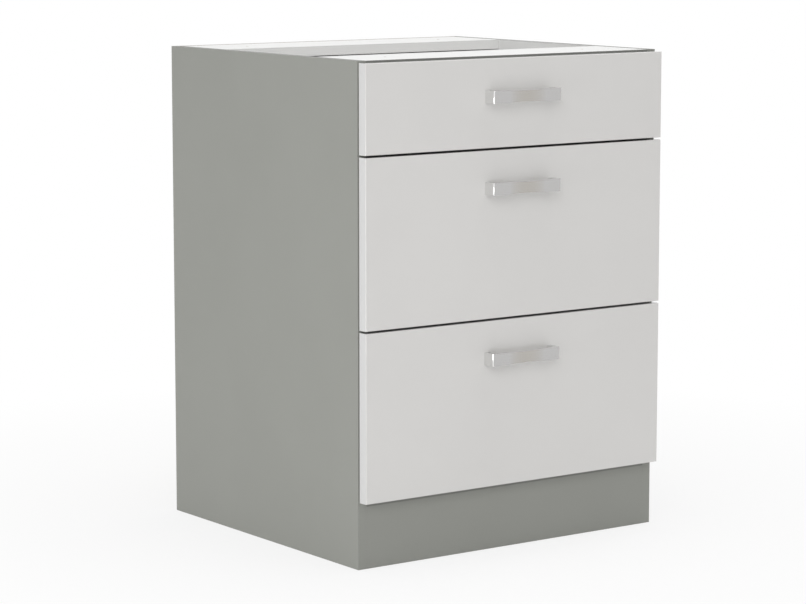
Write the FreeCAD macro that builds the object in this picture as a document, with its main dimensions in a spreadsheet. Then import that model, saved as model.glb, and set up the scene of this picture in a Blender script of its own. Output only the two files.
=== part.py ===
import FreeCAD, Part
import math
import os
import re

import Sketcher

# Kitchen base unit with three drawers: a low one above two tall ones.
# Millimetres, +Z up, fronts towards -Y. The origin is on the floor, at the middle of the overall footprint.
# The unit is symmetrical about x = 0: right-hand pieces are drawn and left-hand ones are their mirror images.

SIZES = {
    # Carcass of plain boards
    "cabinet_width": 600,
    "cabinet_depth": 550,
    "cabinet_height": 800,
    "board": 16,
    "plinth_height": 100,
    "rail_depth": 135,
    "back_thickness": 3,
    "back_inset": 10,
    "groove_depth": 6,
    "groove_play": 0.1,
    "worktop_hole_radius": 2.5,
    "worktop_hole_inset": 84,
    "nail_radius": 0.8,
    "nail_length": 22,
    "nail_head_radius": 3,
    "nail_head": 0.8,
    "inner_nail_share": 0.28,
    "outer_nail_share": 0.84,
    # Drawer fronts, laid over the edges of the carcass
    "front_thickness": 18,
    "front_standoff": 2,
    "front_gap": 3.5,
    "front_round": 1.5,
    "side_reveal": 1.5,
    "top_reveal": 3,
    "plinth_gap": 8,
    "low_front_height": 142,
    # Strap handles
    "handle_length": 136,
    "handle_reach": 24,
    "handle_height": 20,
    "handle_leg": 8,
    "handle_strap": 6,
    "handle_flat": 10,
    "handle_hollow": 1.5,
    "handle_waist": 1.2,
    "handle_corner": 3,
    "handle_inner_corner": 6,
    "handle_drop": 60,
    "handle_screw_radius": 2,
    "handle_screw_bite": 12,
    "handle_screw_head_radius": 4,
    "handle_screw_head": 2.4,
    # Drawer boxes
    "box_board": 16,
    "box_lift": 24,
    "low_box_drop": 28,
    "tall_box_drop": 66,
    "box_base": 3,
    "box_base_lift": 12,
    # Roller runners
    "runner_room": 12.5,
    "rear_room": 35,
    "rail_setback": 2,
    "rail_sheet": 1.2,
    "bend_radius": 1,
    "channel_width": 10,
    "channel_play": 0.7,
    "flange_width": 8.5,
    "foot_width": 14,
    "axle_lift": 5.7,
    "axle_radius": 2.5,
    "axle_play": 0.08,
    "axle_collar_radius": 4.5,
    "axle_collar": 0.6,
    "axle_head_radius": 4,
    "axle_head": 0.8,
    "roller_radius": 10,
    "roller_width": 5.5,
    "roller_play": 0.2,
    "roller_inset": 14,
    "roller_chamfer": 0.6,
    "roller_rim": 2,
    "roller_hub": 2.5,
    "roller_recess": 1.2,
    "rolling_gap": 0.3,
    "travel_share": 0.74,
    "stop_radius": 2,
    "stop_reach": 6.5,
    "rail_screw_first": 37,
    "rail_screw_last": 79,
    "rail_screw_radius": 1.75,
    "rail_screw_bite": 12,
    "rail_screw_head_radius": 3.5,
    "rail_screw_head": 1.6,
    # Screws of the drawer boxes, the same kind in the backs and in the drawer rails
    "box_screw_radius": 1.75,
    "box_screw_length": 28,
    "box_screw_head_radius": 3.5,
    "box_screw_head": 2,
    "box_screw_rise": 40,
    "box_screw_drop": 18,
    "box_screw_inset": 60,
    # Dowels, cam discs and cam bolts
    "dowel_radius": 4,
    "dowel_length": 30,
    "dowel_bite": 11,
    "dowel_edge": 22,
    "cam_radius": 7.5,
    "cam_height": 12.5,
    "cam_reach": 34,
    "cam_edge": 60,
    "cam_rise": 52,
    "cam_drop": 38,
    "bolt_radius": 3,
    "bolt_hole_radius": 4,
    "bolt_thread_radius": 2.5,
    "bolt_bite": 11,
    "fastener_play": 0.1,
    "hole_room": 0.5,
    # Every cutting tool runs this far past the face that it enters
    "overrun": 5,
}

# Main planes of the unit
FRONT_EDGE = "((handle_reach + front_thickness + front_standoff - cabinet_depth) / 2)"
BACK_FACE = f"({FRONT_EDGE} + cabinet_depth - back_inset - back_thickness)"
FRONT_BACK = f"({FRONT_EDGE} - front_standoff)"
FRONT_FACE = f"({FRONT_BACK} - front_thickness)"
HANDLE_FACE = f"({FRONT_FACE} - handle_reach)"
SIDE_INNER = "(cabinet_width / 2 - board)"
BOX_OUTER = f"({SIDE_INNER} - runner_room)"
BOX_INNER = f"({BOX_OUTER} - box_board)"
RUNNER_LENGTH = "(cabinet_depth - back_inset - back_thickness - rail_setback - rear_room)"
BOX_REAR = f"({FRONT_BACK} + {RUNNER_LENGTH})"

# Fronts from the plinth up: two tall ones share what the low one leaves
FRONTS_BOTTOM = "(plinth_height + plinth_gap)"
TALL_FRONT = f"((cabinet_height - top_reveal - low_front_height - 2 * front_gap - {FRONTS_BOTTOM}) / 2)"
DRAWERS = {
    "bottom": (FRONTS_BOTTOM, TALL_FRONT, "tall_box_drop"),
    "middle": (f"({FRONTS_BOTTOM} + {TALL_FRONT} + front_gap)", TALL_FRONT, "tall_box_drop"),
    "top": (f"({FRONTS_BOTTOM} + 2 * ({TALL_FRONT} + front_gap))", "low_front_height", "low_box_drop"),
}

# Levels of a runner, above the lower edge of its drawer box
FLANGE = "(axle_lift + roller_radius + rolling_gap)"
CHANNEL_FLOOR = "(axle_lift - roller_radius - rolling_gap)"
CHANNEL_CEILING = f"({FLANGE} + rail_sheet + channel_play)"

# Which way a cylinder points: the axis and angle that turn it there from +Z
TURNS = {
    "x": (FreeCAD.Vector(0, 1, 0), 90),
    "-x": (FreeCAD.Vector(0, 1, 0), -90),
    "y": (FreeCAD.Vector(1, 0, 0), -90),
    "-y": (FreeCAD.Vector(1, 0, 0), 90),
    "z": (FreeCAD.Vector(0, 0, 1), 0),
}

doc = FreeCAD.newDocument("drawer_base_unit")
sheet = doc.addObject("Spreadsheet::Sheet", "Sizes")
for row, (size_name, size_value) in enumerate(SIZES.items(), start=1):
    sheet.set(f"A{row}", str(size_value))
    sheet.setAlias(f"A{row}", size_name)
doc.recompute()

nodes = []


def formula(text):
    """The text with each size's name pointed at its cell of the sheet."""
    def cell(word):
        return f"Sizes.{word.group()}" if word.group() in SIZES else word.group()
    return re.sub(r"[a-z_]+", cell, text)


def place(thing, start, turn="z"):
    """Puts a thing's own origin at three formulas, turned from +Z to the given way."""
    thing.Placement = FreeCAD.Placement(FreeCAD.Vector(), FreeCAD.Rotation(*TURNS[turn]))
    for axis, text in zip("xyz", start):
        thing.setExpression(f"Placement.Base.{axis}", formula(text))
    return thing


def block(name, size, corner):
    """A board or a groove: its three sizes, from its low corner."""
    box = doc.addObject("Part::Box", name)
    for side, text in zip(("Length", "Width", "Height"), size):
        box.setExpression(side, formula(text))
    return place(box, corner)


def rod(name, radius, length, start, along):
    """A round pin or hole from its start, along an axis."""
    cylinder = doc.addObject("Part::Cylinder", name)
    cylinder.setExpression("Radius", formula(radius))
    cylinder.setExpression("Height", formula(length))
    return place(cylinder, start, along)


def joined(name, things):
    """Several solids as one."""
    if len(things) == 1:
        return things[0]
    union = doc.addObject("Part::MultiFuse", name)
    union.Shapes = things
    return union


def turned(name, start, along, steps):
    """A turned piece: coaxial steps of (radius, length), laid end to end from its start."""
    axis = "xyz".index(along[-1])
    sign = "-" if along.startswith("-") else "+"
    reach = "0"
    cylinders = []
    for radius, length in steps:
        step_start = list(start)
        step_start[axis] = f"{start[axis]} {sign} ({reach})"
        cylinders.append(rod(f"{name}_step", radius, length, step_start, along))
        reach = f"{reach} + {length}"
    return joined(name, cylinders)


def mirrored(name, thing):
    """The left-hand image of a right-hand thing."""
    image = doc.addObject("Part::Mirroring", name)
    image.Source = thing
    image.Normal = FreeCAD.Vector(1, 0, 0)
    return image


def both_sides(name, things):
    """Right-hand tools and their left-hand images, as one tool."""
    right = joined(f"{name}_right", things)
    return joined(name, [right, mirrored(f"{name}_left", right)])


def cut(name, solid, tools):
    """A solid with all the tools taken away."""
    rest = doc.addObject("Part::Cut", name)
    rest.Base = solid
    rest.Tool = joined(f"{name}_tools", tools)
    return rest


def node(name, thing):
    """Names a finished piece."""
    thing.Label = name
    nodes.append(thing)
    return thing


def group_node(name, things):
    """A set of separate like solids, on both sides of the unit, under one name."""
    group = doc.addObject("Part::Compound", f"{name}_group")
    group.Links = things + [mirrored(f"{name}_left", thing) for thing in things]
    return node(name, group)


def outline(body, name, plane_role, corners):
    """A sketch of straight edges through corners given as formulas."""
    plane = next(part for part in body.Origin.OriginFeatures if part.Role == plane_role)
    sketch = body.newObject("Sketcher::SketchObject", name)
    sketch.AttachmentSupport = [(plane, "")]
    sketch.MapMode = "FlatFace"
    count = len(corners)
    turns = [2 * math.pi * number / count for number in range(count)]
    ring = [FreeCAD.Vector(math.cos(turn), math.sin(turn), 0) for turn in turns]
    for number in range(count):
        sketch.addGeometry(Part.LineSegment(ring[number], ring[(number + 1) % count]))
    for number in range(count):
        sketch.addConstraint(Sketcher.Constraint("Coincident", number, 2, (number + 1) % count, 1))
    for number, corner in enumerate(corners):
        for kind, axis, text in zip(("DistanceX", "DistanceY"), (-2, -1), corner):
            if text == "0":
                sketch.addConstraint(Sketcher.Constraint("PointOnObject", number, 1, axis))
            else:
                index = sketch.addConstraint(Sketcher.Constraint(kind, -1, 1, number, 1, 1))
                sketch.setExpression(f"Constraints[{index}]", formula(text))
    return sketch


def padded(name, plane_role, corners, length, reverse=False):
    """A body padded from an outline."""
    body = doc.addObject("PartDesign::Body", name)
    sketch = outline(body, f"{name}_outline", plane_role, corners)
    pad = body.newObject("PartDesign::Pad", f"{name}_pad")
    pad.Profile = sketch
    pad.Reversed = reverse
    pad.setExpression("Length", formula(length))
    doc.recompute()
    return body


def same(first, second):
    """Whether two measured places agree."""
    return math.isclose(first, second, abs_tol=Part.Precision.confusion())


def rounded(body, radius, *spots):
    """Rounds the edges of a body that lie wholly at one of the spots, each given as {axis: place}."""
    base = body.Tip

    def lies_at(edge, spot):
        ends = [vertex.Point for vertex in edge.Vertexes]
        return all(same(getattr(end, axis), where) for end in ends for axis, where in spot.items())

    names = [
        f"Edge{number}"
        for number, edge in enumerate(base.Shape.Edges, start=1)
        if any(lies_at(edge, spot) for spot in spots)
    ]
    fillet = body.newObject("PartDesign::Fillet", f"{body.Name}_round")
    fillet.Base = (base, names)
    fillet.setExpression("Radius", formula(radius))
    doc.recompute()
    return body


# Joints of the carcass: the pieces and holes of the right-hand end of each board
side_holes = []
dowels = []
cam_discs = []
cam_bolts = []


def dowel_joint(y, z):
    """A dowel across the joint of a side panel and a board. Gives back its hole, which serves both."""
    start = f"{SIDE_INNER} - dowel_length + dowel_bite"
    dowels.append(rod("dowel", "dowel_radius", "dowel_length", (start, y, z), "x"))
    radius = "dowel_radius + fastener_play"
    hole = rod("dowel_hole", radius, "dowel_length + 2 * hole_room", (f"{start} - hole_room", y, z), "x")
    side_holes.append(hole)
    return hole


def cam_joint(y, z):
    """A cam bolt in a side panel and its disc in the underside of a board. Gives back the board's holes."""
    centre = f"{SIDE_INNER} - cam_reach"
    underside = f"{z} - board / 2"
    steps = [("bolt_radius", "cam_reach"), ("bolt_thread_radius", "bolt_bite")]
    cam_bolts.append(turned("cam_bolt", (centre, y, z), "x", steps))
    slot = rod("cam_slot", "bolt_radius + fastener_play", "cam_reach", (f"{centre} - hole_room", y, z), "x")
    disc = rod("cam_disc_blank", "cam_radius", "cam_height", (centre, y, underside), "z")
    cam_discs.append(cut("cam_disc", disc, [slot]))
    thread_radius = "bolt_thread_radius + fastener_play"
    thread_length = "bolt_bite + hole_room"
    side_holes.append(rod("bolt_thread_hole", thread_radius, thread_length, (SIDE_INNER, y, z), "x"))
    bore_start = (centre, y, f"{underside} - overrun")
    bore_length = "cam_height + fastener_play + overrun"
    return [
        rod("bolt_hole", "bolt_hole_radius", "cam_reach + overrun", (centre, y, z), "x"),
        rod("cam_bore", "cam_radius + fastener_play", bore_length, bore_start, "z"),
    ]


def shelf(name, front, depth, top, cam_places, extra_holes=()):
    """A flat board between the side panels: dowels near its edges, cams between them."""
    middle = f"({top} - board / 2)"
    corner = (f"-{SIDE_INNER}", front, f"{top} - board")
    blank = block(f"{name}_blank", (f"2 * {SIDE_INNER}", depth, "board"), corner)
    holes = list(extra_holes)
    for dowel_place in ("dowel_edge", f"{depth} - dowel_edge"):
        holes.append(dowel_joint(f"{front} + {dowel_place}", middle))
    for cam_place in cam_places:
        holes += cam_joint(f"{front} + {cam_place}", middle)
    return node(name, cut(f"{name}_drilled", blank, [both_sides(f"{name}_holes", holes)]))


def worktop_hole(y):
    """A hole through a top rail for the screw that pulls a worktop down."""
    start = (f"{SIDE_INNER} - worktop_hole_inset", y, "cabinet_height - board - overrun")
    return rod("worktop_hole", "worktop_hole_radius", "board + 2 * overrun", start, "z")


def nail_row(z):
    """Nails through the back panel into the rear edge of a board at this level. Gives back their holes."""
    rear = f"{BACK_FACE} + back_thickness"
    steps = [("nail_head_radius", "nail_head"), ("nail_radius", "nail_length")]
    holes = []
    for share in ("inner_nail_share", "outer_nail_share"):
        x = f"{share} * {SIDE_INNER}"
        nails.append(turned("back_nail", (x, f"{rear} + nail_head", z), "-y", steps))
        hole_start = (x, f"{rear} + overrun", z)
        hole_length = "overrun + nail_length + hole_room"
        holes.append(rod("nail_hole", "nail_radius + fastener_play", hole_length, hole_start, "-y"))
    nail_holes.extend(holes)
    return holes


# Boards between the side panels
nails = []
nail_holes = []
floor_depth = f"({BACK_FACE} - {FRONT_EDGE})"
rear_rail_front = f"({BACK_FACE} - rail_depth)"
rail_middle = "rail_depth / 2"
floor_cams = ("cam_edge", f"{floor_depth} - cam_edge")
floor_holes = nail_row("plinth_height + board / 2")
shelf("bottom_panel", FRONT_EDGE, floor_depth, "(plinth_height + board)", floor_cams, floor_holes)
front_holes = [worktop_hole(f"{FRONT_EDGE} + {rail_middle}")]
shelf("front_top_rail", FRONT_EDGE, "rail_depth", "cabinet_height", (rail_middle,), front_holes)
rear_holes = nail_row("cabinet_height - board / 2") + [worktop_hole(f"{rear_rail_front} + {rail_middle}")]
shelf("rear_top_rail", rear_rail_front, "rail_depth", "cabinet_height", (rail_middle,), rear_holes)

# Plinth, upright between the sides and flush with their front edges
plinth_middle = f"{FRONT_EDGE} + board / 2"
plinth_size = (f"2 * {SIDE_INNER}", "board", "plinth_height")
plinth_blank = block("plinth_blank", plinth_size, (f"-{SIDE_INNER}", FRONT_EDGE, "0"))
plinth_holes = [dowel_joint(plinth_middle, level) for level in ("dowel_edge", "plinth_height - dowel_edge")]
node("plinth_board", cut("plinth_drilled", plinth_blank, [both_sides("plinth_holes", plinth_holes)]))

# Back panel, let into grooves of the sides and nailed to the floor and the rear rail
back_half = f"({SIDE_INNER} + groove_depth - groove_play)"
back_size = (f"2 * {back_half}", "back_thickness", "cabinet_height - plinth_height")
back_sheet = block("back_sheet", back_size, (f"-{back_half}", BACK_FACE, "plinth_height"))
node("back_panel", cut("back_drilled", back_sheet, [both_sides("back_holes", nail_holes)]))
group_node("back_panel_nails", nails)
groove_size = (
    "groove_depth + overrun",
    "back_thickness + 2 * groove_play",
    "cabinet_height - plinth_height + groove_play + overrun",
)
groove_corner = (f"{SIDE_INNER} - overrun", f"{BACK_FACE} - groove_play", "plinth_height - groove_play")
side_holes.append(block("back_groove", groove_size, groove_corner))

# Roller runners: what the two rails of a pair have in common
AXLE_STEPS = [
    ("axle_collar_radius", "axle_collar"),
    ("axle_radius", "roller_width + 2 * roller_play"),
    ("axle_head_radius", "axle_head"),
]
CHANNEL_CORNERS = [
    ("0", f"{CHANNEL_FLOOR} - rail_sheet"),
    ("0", f"{CHANNEL_CEILING} + rail_sheet"),
    ("-channel_width", f"{CHANNEL_CEILING} + rail_sheet"),
    ("-channel_width", CHANNEL_CEILING),
    ("-rail_sheet", CHANNEL_CEILING),
    ("-rail_sheet", CHANNEL_FLOOR),
    ("-channel_width", CHANNEL_FLOOR),
    ("-channel_width", f"{CHANNEL_FLOOR} - rail_sheet"),
]
DRAWER_RAIL_CORNERS = [
    ("-foot_width", "-rail_sheet"),
    ("rail_sheet", "-rail_sheet"),
    ("rail_sheet", FLANGE),
    ("rail_sheet + flange_width", FLANGE),
    ("rail_sheet + flange_width", f"{FLANGE} + rail_sheet"),
    ("0", f"{FLANGE} + rail_sheet"),
    ("0", "0"),
    ("-foot_width", "0"),
]
ROLLER_CORNERS = [
    ("0", "axle_radius + axle_play"),
    ("0", "roller_radius - roller_chamfer"),
    ("roller_chamfer", "roller_radius"),
    ("roller_width - roller_chamfer", "roller_radius"),
    ("roller_width", "roller_radius - roller_chamfer"),
    ("roller_width", "roller_radius - roller_rim"),
    ("roller_width - roller_recess", "roller_radius - roller_rim"),
    ("roller_width - roller_recess", "axle_radius + roller_hub"),
    ("roller_width", "axle_radius + roller_hub"),
    ("roller_width", "axle_radius + axle_play"),
]
rail_screws = []


def roller_pair(name, start):
    """A roller turned about its axle, with a hub and a rim around a recess, and its left-hand twin."""
    body = doc.addObject("PartDesign::Body", f"{name}_roller")
    sketch = outline(body, f"{name}_profile", "XZ_Plane", ROLLER_CORNERS)
    turning = body.newObject("PartDesign::Revolution", f"{name}_turning")
    turning.Profile = sketch
    turning.ReferenceAxis = (sketch, ["H_Axis"])
    place(body, start)
    doc.recompute()
    group_node(name, [body])


def cabinet_rail(drawer, base):
    """The channel on a side panel, open towards the drawer, with its front roller's axle and a stop pin."""
    start = f"{FRONT_EDGE} + rail_setback"
    channel = padded(f"{drawer}_channel", "XZ_Plane", CHANNEL_CORNERS, RUNNER_LENGTH, reverse=True)
    extent = channel.Shape.BoundBox
    rounded(channel, "bend_radius", {"x": 0, "z": extent.ZMin}, {"x": 0, "z": extent.ZMax})
    place(channel, (SIDE_INNER, start, base))
    axle_y = f"{start} + roller_inset"
    axle_z = f"{base} + axle_lift"
    axle = turned(f"{drawer}_front_axle", (f"{SIDE_INNER} - rail_sheet", axle_y, axle_z), "-x", AXLE_STEPS)
    steps = [
        ("rail_screw_head_radius", "rail_screw_head"),
        ("rail_screw_radius", "rail_sheet + rail_screw_bite"),
    ]
    hole_radius = "rail_screw_radius + fastener_play"
    hole_length = "rail_screw_head + rail_sheet + rail_screw_bite + hole_room"
    holes = []
    first = f"{start} + rail_screw_first"
    last = f"{start} + {RUNNER_LENGTH} - rail_screw_last"
    for y in (first, f"({first} + {last}) / 2", last):
        screw_start = (f"{SIDE_INNER} - rail_sheet - rail_screw_head", y, axle_z)
        rail_screws.append(turned("rail_screw", screw_start, "x", steps))
        holes.append(rod("rail_screw_hole", hole_radius, hole_length, screw_start, "x"))
    side_holes.extend(holes)
    roller_front = f"{BOX_REAR} - roller_inset - travel_share * {RUNNER_LENGTH} - roller_radius"
    stop_start = (f"{SIDE_INNER} - rail_sheet", f"{roller_front} - rolling_gap - stop_radius", axle_z)
    stop = rod(f"{drawer}_stop_pin", "stop_radius", "stop_reach", stop_start, "-x")
    right = cut(f"{drawer}_channel_drilled", joined(f"{drawer}_channel_axle", [channel, axle, stop]), holes)
    node(f"{drawer}_right_cabinet_rail", right)
    node(f"{drawer}_left_cabinet_rail", mirrored(f"{drawer}_left_channel", right))
    roller_x = f"{SIDE_INNER} - rail_sheet - axle_collar - roller_play - roller_width"
    roller_pair(f"{drawer}_front_rollers", (roller_x, axle_y, axle_z))


def drawer_rail(drawer, base, screw_holes):
    """The rail under a drawer side: a foot, a leg, a running flange and the axle of its rear roller."""
    rail = padded(f"{drawer}_angle", "XZ_Plane", DRAWER_RAIL_CORNERS, RUNNER_LENGTH, reverse=True)
    extent = rail.Shape.BoundBox
    rounded(rail, "bend_radius", {"x": SIZES["rail_sheet"], "z": extent.ZMin}, {"x": 0, "z": extent.ZMax})
    place(rail, (BOX_OUTER, FRONT_BACK, base))
    axle_y = f"{BOX_REAR} - roller_inset"
    axle_z = f"{base} + axle_lift"
    axle = turned(f"{drawer}_rear_axle", (f"{BOX_OUTER} + rail_sheet", axle_y, axle_z), "x", AXLE_STEPS)
    right = cut(f"{drawer}_angle_drilled", joined(f"{drawer}_angle_axle", [rail, axle]), screw_holes)
    node(f"{drawer}_right_drawer_rail", right)
    node(f"{drawer}_left_drawer_rail", mirrored(f"{drawer}_left_angle", right))
    roller_x = f"{BOX_OUTER} + rail_sheet + axle_collar + roller_play"
    roller_pair(f"{drawer}_rear_rollers", (roller_x, axle_y, axle_z))


def handle(drawer, level):
    """A strap handle: two legs and a strap with a hollow face and a slight waist."""
    half = "handle_length / 2"
    corners = [
        (f"-{half}", "0"),
        (f"-{half} + handle_leg", "0"),
        (f"-{half} + handle_leg", "handle_reach - handle_strap"),
        (f"{half} - handle_leg", "handle_reach - handle_strap"),
        (f"{half} - handle_leg", "0"),
        (half, "0"),
        (half, "handle_reach"),
        (f"-{half}", "handle_reach"),
    ]
    strap = padded(f"{drawer}_strap", "XY_Plane", corners, "handle_height")
    outer = SIZES["handle_length"] / 2
    inner = outer - SIZES["handle_leg"]
    reach = SIZES["handle_reach"]
    rounded(strap, "handle_corner", {"x": -outer, "y": reach}, {"x": outer, "y": reach})
    inside = reach - SIZES["handle_strap"]
    rounded(strap, "handle_inner_corner", {"x": -inner, "y": inside}, {"x": inner, "y": inside})
    strap.Placement = FreeCAD.Placement(FreeCAD.Vector(), FreeCAD.Rotation(FreeCAD.Vector(0, 0, 1), 180))
    for axis, text in zip("xyz", ("0", FRONT_FACE, f"{level} - handle_height / 2")):
        strap.setExpression(f"Placement.Base.{axis}", formula(text))
    half_chord = f"({half} - handle_flat)"
    hollow_radius = f"(({half_chord} ^ 2 + handle_hollow ^ 2) / (2 * handle_hollow))"
    waist_radius = f"(({half_chord} ^ 2 + handle_waist ^ 2) / (2 * handle_waist))"
    hollow_start = ("0", f"{HANDLE_FACE} + handle_hollow - {hollow_radius}", f"{level} - handle_height")
    waist_lift = f"handle_height / 2 - handle_waist + {waist_radius}"
    waist_y = f"{HANDLE_FACE} - overrun"
    upper_waist = ("0", waist_y, f"{level} + {waist_lift}")
    lower_waist = ("0", waist_y, f"{level} - ({waist_lift})")
    waist_length = "handle_strap + 2 * overrun"
    screw_x = f"{half} - handle_leg / 2"
    bite = (screw_x, f"{FRONT_FACE} - handle_screw_bite - hole_room", level)
    screw_hole_radius = "handle_screw_radius + fastener_play"
    tools = [
        rod(f"{drawer}_hollow", hollow_radius, "2 * handle_height", hollow_start, "z"),
        rod(f"{drawer}_upper_waist", waist_radius, waist_length, upper_waist, "y"),
        rod(f"{drawer}_lower_waist", waist_radius, waist_length, lower_waist, "y"),
    ]
    hole_length = "handle_screw_bite + hole_room + front_thickness + overrun"
    hole = rod(f"{drawer}_handle_hole", screw_hole_radius, hole_length, bite, "y")
    both_holes = both_sides(f"{drawer}_handle_holes", [hole])
    node(f"{drawer}_drawer_handle", cut(f"{drawer}_handle_shaped", strap, tools + [both_holes]))
    steps = [
        ("handle_screw_head_radius", "handle_screw_head"),
        ("handle_screw_radius", "front_thickness + handle_screw_bite"),
    ]
    head_start = (screw_x, f"{FRONT_BACK} + handle_screw_head", level)
    group_node(f"{drawer}_handle_screws", [turned(f"{drawer}_handle_screw", head_start, "-y", steps)])
    return both_holes


def drawer_front(drawer, lower, height, holes):
    """A slab front with rounded face edges, drilled from behind and grooved for the box base."""
    half = "(cabinet_width / 2 - side_reveal)"
    corners = [(f"-{half}", "0"), (half, "0"), (half, height), (f"-{half}", height)]
    slab = padded(f"{drawer}_slab", "XZ_Plane", corners, "front_thickness", reverse=True)
    rounded(slab, "front_round", {"y": 0})
    place(slab, ("0", FRONT_FACE, lower))
    node(f"{drawer}_drawer_front", cut(f"{drawer}_slab_drilled", slab, holes))


def drawer_box(drawer, base, box_height):
    """Sides, back and base of a drawer box, with their fasteners. Gives back the holes in its front."""
    top = f"({base} + {box_height})"
    middle = f"({BOX_INNER} + box_board / 2)"
    base_half = f"({BOX_INNER} + groove_depth - groove_play)"
    base_level = f"({base} + box_base_lift)"
    base_front = f"({FRONT_BACK} - groove_depth + groove_play)"
    base_size = (f"2 * {base_half}", f"{BOX_REAR} - {base_front}", "box_base")
    base_corner = (f"-{base_half}", base_front, base_level)
    node(f"{drawer}_box_base", block(f"{drawer}_base_sheet", base_size, base_corner))
    groove_size = ("groove_depth + overrun", f"{RUNNER_LENGTH} + 2 * overrun", "box_base + 2 * groove_play")
    groove_corner = (f"{BOX_INNER} - overrun", f"{FRONT_BACK} - overrun", f"{base_level} - groove_play")
    side_tools = [block(f"{drawer}_side_groove", groove_size, groove_corner)]
    front_groove_half = f"({BOX_INNER} + groove_depth)"
    front_groove = block(
        f"{drawer}_front_groove",
        (f"2 * {front_groove_half}", "groove_depth + overrun", "box_base + 2 * groove_play"),
        (f"-{front_groove_half}", f"{FRONT_BACK} - groove_depth", f"{base_level} - groove_play"),
    )

    cam_y = f"{FRONT_BACK} + cam_reach"
    cam_levels = [f"{base} + cam_rise"]
    if drawer != "top":
        cam_levels.append(f"{top} - cam_drop")
    discs = []
    bolts = []
    front_holes = []
    bore_radius = "cam_radius + fastener_play"
    for level in cam_levels:
        steps = [("bolt_radius", "cam_reach"), ("bolt_thread_radius", "bolt_bite")]
        bolt_start = (middle, cam_y, level)
        bolts.append(turned(f"{drawer}_front_bolt", bolt_start, "-y", steps))
        disc_start = (BOX_OUTER, cam_y, level)
        disc = rod(f"{drawer}_front_disc_blank", "cam_radius", "cam_height", disc_start, "-x")
        slot_start = (middle, f"{cam_y} + hole_room", level)
        slot = rod(f"{drawer}_front_slot", "bolt_radius + fastener_play", "cam_reach", slot_start, "-y")
        discs.append(cut(f"{drawer}_front_disc", disc, [slot]))
        bore_start = (f"{BOX_OUTER} + overrun", cam_y, level)
        bore_length = "cam_height + fastener_play + overrun"
        side_tools.append(rod(f"{drawer}_bore", bore_radius, bore_length, bore_start, "-x"))
        hole_length = "cam_reach + overrun"
        side_tools.append(rod(f"{drawer}_bolt_hole", "bolt_hole_radius", hole_length, bolt_start, "-y"))
        thread_radius = "bolt_thread_radius + fastener_play"
        thread_start = (middle, f"{FRONT_BACK} + overrun", level)
        thread_length = "bolt_bite + hole_room + overrun"
        front_holes.append(rod(f"{drawer}_thread_hole", thread_radius, thread_length, thread_start, "-y"))
    group_node(f"{drawer}_front_cam_discs", discs)
    group_node(f"{drawer}_front_cam_bolts", bolts)

    screw_steps = [("box_screw_head_radius", "box_screw_head"), ("box_screw_radius", "box_screw_length")]
    hole_steps = [
        ("box_screw_head_radius + fastener_play", "box_screw_head"),
        ("box_screw_radius + fastener_play", "box_screw_length + hole_room"),
    ]
    rear_y = f"{BOX_REAR} - box_board / 2"
    screws = []
    back_holes = []
    for level in (f"{base} + box_screw_rise", f"{top} - box_screw_drop"):
        start = (BOX_OUTER, rear_y, level)
        screws.append(turned(f"{drawer}_back_screw", start, "-x", screw_steps))
        back_holes.append(turned(f"{drawer}_back_hole", start, "-x", hole_steps))
    foot_holes = []
    foot_radius = "box_screw_radius + fastener_play"
    foot_length = "box_screw_head + rail_sheet + box_screw_length + hole_room"
    for y in (f"{FRONT_BACK} + box_screw_inset", f"{BOX_REAR} - box_screw_inset"):
        start = (middle, y, f"{base} - rail_sheet - box_screw_head")
        screws.append(turned(f"{drawer}_foot_screw", start, "z", screw_steps))
        foot_holes.append(rod(f"{drawer}_foot_hole", foot_radius, foot_length, start, "z"))
    group_node(f"{drawer}_drawer_screws", screws)

    side_size = ("box_board", RUNNER_LENGTH, box_height)
    side_blank = block(f"{drawer}_side_blank", side_size, (BOX_INNER, FRONT_BACK, base))
    right = cut(f"{drawer}_side_drilled", side_blank, side_tools + back_holes + foot_holes)
    node(f"{drawer}_box_right_side", right)
    node(f"{drawer}_box_left_side", mirrored(f"{drawer}_side_image", right))
    back_bottom = f"({base_level} + box_base)"
    back_size = (f"2 * {BOX_INNER}", "box_board", f"{top} - {back_bottom}")
    back_corner = (f"-{BOX_INNER}", f"{BOX_REAR} - box_board", back_bottom)
    back_blank = block(f"{drawer}_back_blank", back_size, back_corner)
    back_tool = both_sides(f"{drawer}_back_holes", back_holes)
    node(f"{drawer}_box_back", cut(f"{drawer}_back_drilled", back_blank, [back_tool]))
    drawer_rail(drawer, base, foot_holes)
    return [front_groove, both_sides(f"{drawer}_thread_holes", front_holes)]


for drawer_name, (lower_edge, front_height, box_drop) in DRAWERS.items():
    box_base_edge = f"({lower_edge} + box_lift)"
    box_side_height = f"({front_height} - box_lift - {box_drop})"
    holes_in_front = drawer_box(drawer_name, box_base_edge, box_side_height)
    holes_in_front.append(handle(drawer_name, f"({lower_edge} + {front_height} - handle_drop)"))
    drawer_front(drawer_name, lower_edge, front_height, holes_in_front)
    cabinet_rail(drawer_name, box_base_edge)

# Side panels, drilled and grooved on their inner faces
side_size = ("board", "cabinet_depth", "cabinet_height")
side_blank = block("side_blank", side_size, (SIDE_INNER, FRONT_EDGE, "0"))
right_side = node("right_side_panel", cut("right_side_drilled", side_blank, side_holes))
node("left_side_panel", mirrored("left_side_image", right_side))
group_node("carcass_dowels", dowels)
group_node("carcass_cam_discs", cam_discs)
group_node("carcass_cam_bolts", cam_bolts)
group_node("cabinet_rail_screws", rail_screws)

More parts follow.
